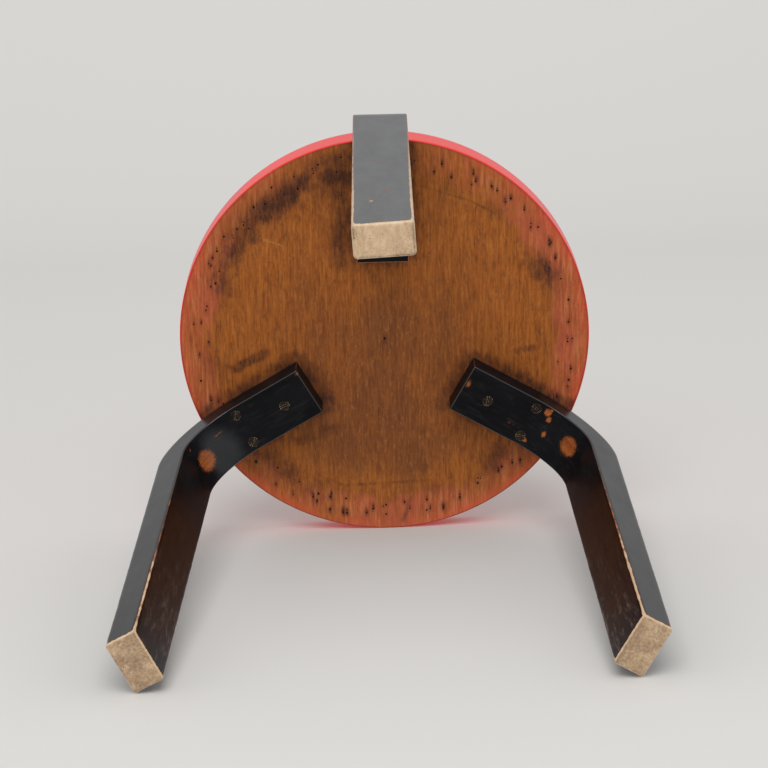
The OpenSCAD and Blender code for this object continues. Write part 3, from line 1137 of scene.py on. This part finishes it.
def band_profile():
    """Section of the edge band, with small bevels at its joints."""
    low, high, bevel = UNDERSIDE + VENEER_T, SEAT_TOP - VENEER_T, JOINT_BEVEL
    profile = [(CORE_R, low + bevel), (CORE_R + bevel, low), (SEAT_R - bevel, low)]
    profile += [(SEAT_R, z) for z in np.linspace(low + bevel, high - bevel, 16)]
    profile += [(SEAT_R - bevel, high), (CORE_R + bevel, high), (CORE_R, high - bevel)]
    return profile


def build_seat_edge(material):
    """The painted band round the seat, uneven and rubbed at its joints."""
    obj = lathe("seat_edge", band_profile(), 540, closed=True)
    points = mesh_points(obj)
    radius = from_axis(points)
    outer = radius > CORE_R + 1 * MM
    middle = rise(np.abs(points[:, 2] - (UNDERSIDE + SEAT_TOP) / 2), 13 * MM, 11 * MM)
    wave = hollows(points, (35 * MM, 35 * MM, 12 * MM), 51, 0.04 * MM) * middle
    nick = 0.2 * MM * rise(noise(points, 6 * MM, 53), 0.84, 1.0) * middle
    points[:, :2] *= (1 - (wave + nick) * outer / radius)[:, None]
    move_points(obj, points)
    from_end = np.minimum(points[:, 2] - UNDERSIDE, SEAT_TOP - points[:, 2]) - VENEER_T
    set_attributes(obj, rubbed=0.35 * bump_at(from_end, 0, 0.4 * MM))
    dress(obj, material, "seat_red", "seat_edge_band")


def dress_core(material):
    """Gives the core's staves their wood. They stay CAD nodes."""
    for name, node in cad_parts.items():
        if name.startswith("core_stave_"):
            node.data.materials.clear()
            node.data.materials.append(material)


# ---- Stage, lights and camera ----

# Up and to the right in the photograph, and along the seat's axis
UP = Vector(direction(GRAIN))
RIGHT = Vector(direction(GRAIN + 90))
OVER = Vector((0, 0, 1))
PAPER = srgb(214, 212, 209)
STANDING_PAPER = srgb(232, 230, 227)
WORLD_STRENGTH = 0.7
KEY_SIZE, KEY_POWER = 3.0, 102
BACKDROP_SIZE, BACKDROP_POWER = 2.5, 8.5
CAMERA_PLACE = (0.58905, -0.34658, -1.69172)
CAMERA_TURN = (160.981, 0.537, 61.221)
CAMERA_LENS = 121.12
CAMERA_SENSOR = 36.0
STANDING_HALF = 20.0
PAPER_HALF_W = 4.0
PAPER_NEAR = 4.0
PAPER_FAR = 1.35
COVE_R = 0.9
WALL_H = 3.0


def resting_points():
    """Where the stool rests when it lies on its side: the rim and two feet's corners."""
    rim = OVER * (UNDERSIDE + SEAT_CORNER) - UP * SEAT_R
    feet = []
    for name in ("leg_front_left", "leg_back"):
        corners = [v.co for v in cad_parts[name].data.vertices if v.co.z < 1 * MM]
        feet.append(min(corners, key=lambda p: p.dot(UP)).copy())
    return rim, feet[0], feet[1]


def build_side_floor():
    """Paper under the stool as it lies on its side, rising in a cove behind the seat."""
    rim, left, right = resting_points()
    normal = (left - rim).cross(right - rim).normalized()
    if normal.dot(UP) < 0:
        normal = -normal
    away = (OVER - normal * normal.z).normalized()
    across = away.cross(normal)
    profile = [(-PAPER_NEAR, 0.0), (0.0, 0.0)]
    profile += arc((PAPER_FAR, COVE_R), COVE_R, -90, 0, 24)
    profile += [(PAPER_FAR + COVE_R, COVE_R + WALL_H)]
    points = [rim + away * run + normal * rise_by + across * side * PAPER_HALF_W
              for run, rise_by in profile for side in (-1, 1)]
    faces = [(2 * i, 2 * i + 1, 2 * i + 3, 2 * i + 2) for i in range(len(profile) - 1)]
    stage_mesh("side_floor", points, faces, normal, PAPER)


def build_standing_floor():
    """Floor under the stool as it stands, seen from above."""
    corners = [(x * STANDING_HALF, y * STANDING_HALF, -0.5 * MM) for x, y in CORNERS]
    stage_mesh("standing_floor", corners, [(0, 1, 2, 3)], OVER, STANDING_PAPER)


def stage_mesh(name, points, faces, facing, colour):
    """A one-sided sheet of paper that faces a given way and neither lights nor shades."""
    mesh = new_mesh(name, points, faces)
    if mesh.polygons[0].normal.dot(facing) < 0:
        mesh.flip_normals()
    smooth(mesh)
    mesh.materials.append(studio_paper_material(name, colour))
    obj = link_object(name, mesh)
    for ray in ("diffuse", "glossy", "transmission", "shadow"):
        setattr(obj, f"visible_{ray}", False)


def build_light(name, place, target, size, power):
    """A square soft light that is not itself seen."""
    data = bpy.data.lights.new(name, "AREA")
    data.size = size
    data.energy = power
    obj = link_object(name, data)
    obj.location = place
    obj.rotation_mode = "QUATERNION"
    obj.rotation_quaternion = (target - place).to_track_quat("-Z", "Y")
    obj.visible_camera = False


def build_world():
    """Even pale light from all round."""
    world = bpy.data.worlds.new("studio")
    world.use_nodes = True
    background = world.node_tree.nodes["Background"]
    background.inputs["Color"].default_value = (1.0, 1.0, 1.0, 1.0)
    background.inputs["Strength"].default_value = WORLD_STRENGTH
    bpy.context.scene.world = world


def build_camera():
    """The photograph's view, from below the seat of the lying stool."""
    data = bpy.data.cameras.new("photo_camera")
    data.lens = CAMERA_LENS
    data.sensor_width = CAMERA_SENSOR
    data.clip_start = 0.05
    data.clip_end = 40.0
    obj = link_object("photo_camera", data)
    obj.location = CAMERA_PLACE
    obj.rotation_euler = [math.radians(a) for a in CAMERA_TURN]
    bpy.context.scene.camera = obj


def build_stage():
    """Floor, backdrop, light and camera."""
    bpy.context.scene.view_settings.view_transform = "Standard"
    build_side_floor()
    build_standing_floor()
    build_world()
    middle = OVER * 0.25
    above = middle + UP * 3.6 - OVER * 2.4 - RIGHT * 0.3
    build_light("key", above, middle, KEY_SIZE, KEY_POWER)
    behind = UP * 2.2 + OVER * 0.75
    build_light("backdrop", behind, behind + OVER, BACKDROP_SIZE, BACKDROP_POWER)
    build_camera()


# ---- The stool ----

build_underside(underside_material())
red_paint = red_paint_material()
build_seat_top(red_paint)
build_seat_edge(red_paint)
black_paint = black_leg_material()
old_steel = screw_material()
for one_leg in LEGS:
    build_leg(one_leg, black_paint)
    for one_screw in SCREWS:
        build_screw(one_leg, one_screw, old_steel)
dress_core(birch_material())
build_stage()
